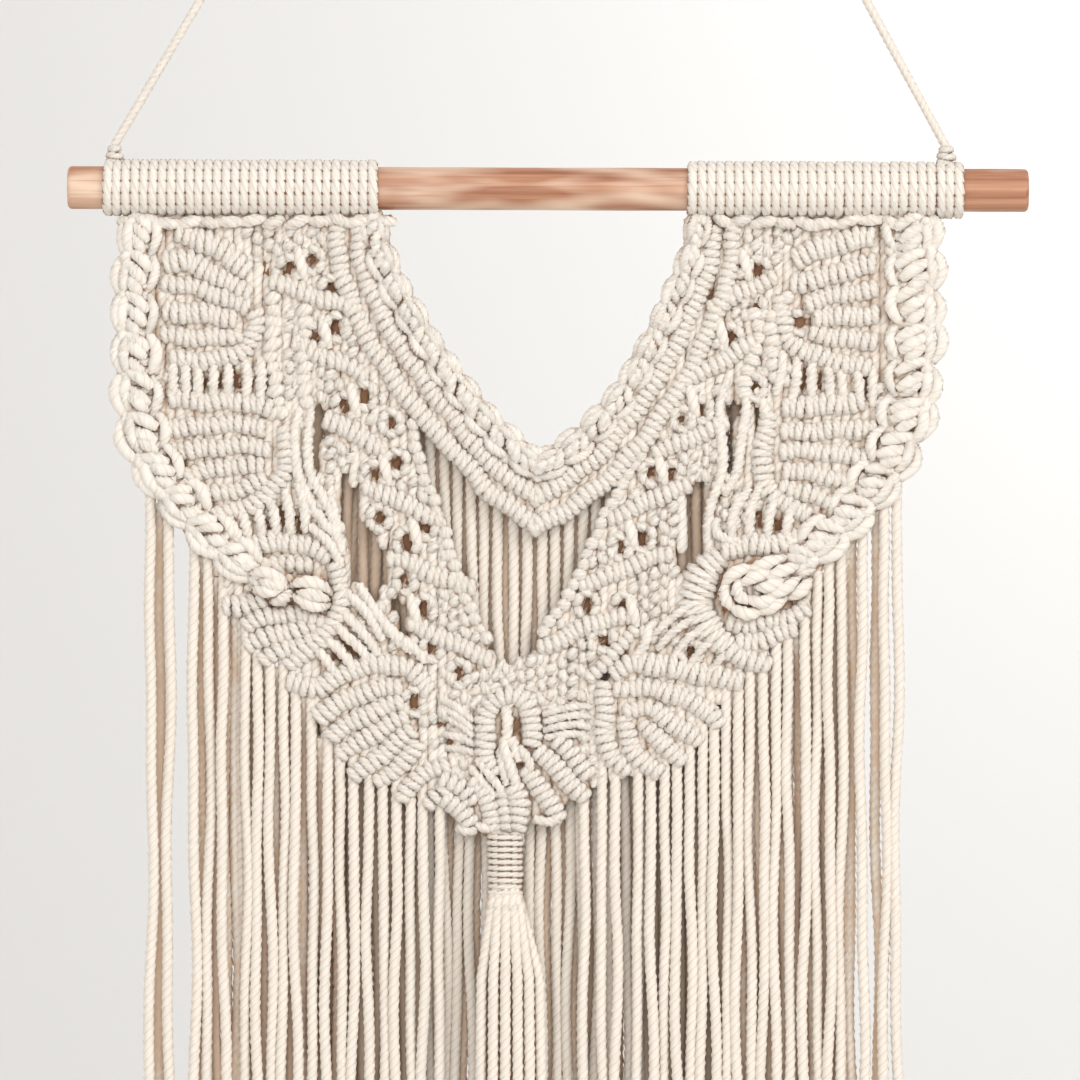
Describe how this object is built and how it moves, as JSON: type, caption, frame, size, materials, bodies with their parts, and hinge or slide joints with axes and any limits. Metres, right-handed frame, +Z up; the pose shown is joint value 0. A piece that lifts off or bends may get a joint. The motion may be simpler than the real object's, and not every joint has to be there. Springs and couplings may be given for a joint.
{
  "type": "macrame wall hanging on a wooden dowel rod",
  "caption": "Knotted cotton cord wall hanging with a V neckline, leaf and net patterns, a centre tassel and a long fringe, hung from a wooden dowel.",
  "frame": {"origin": "point under the top of the hanging cord, where it bears on its wall hook", "axes": "+Z up, front faces -Y, +X to the viewer's right; the wall is on the +Y side"},
  "size_m": [0.3361, 0.0226, 0.6719],
  "materials": {
    "rod": "smooth bare wood, reddish brown",
    "cord_knot_left": "cotton cord turns with a knot on top",
    "cord_knot_right": "cotton cord turns with a knot on top",
    "mounting_left": "cotton cord turns side by side",
    "mounting_right": "cotton cord turns side by side",
    "hanging_cord": "twisted cotton cord",
    "panel_left": "knotted cotton cord",
    "panel_right": "knotted cotton cord",
    "centre_motif": "knotted cotton cord",
    "tassel": "wrapped cotton strands",
    "fringe_left": "loose twisted cotton strands",
    "fringe_right": "loose twisted cotton strands",
    "back_fringe": "loose twisted cotton strands, behind the panel"
  },
  "bodies": {
    "root": {"rod": "rod", "cord_knot_left": "cord_knot_left", "cord_knot_right": "cord_knot_right", "mounting_left": "mounting_left", "mounting_right": "mounting_right", "hanging_cord": "hanging_cord", "panel_left": "panel_left", "panel_right": "panel_right", "centre_motif": "centre_motif", "tassel": "tassel", "fringe_left": "fringe_left", "fringe_right": "fringe_right", "back_fringe": "back_fringe"}
  },
  "joints": []
}
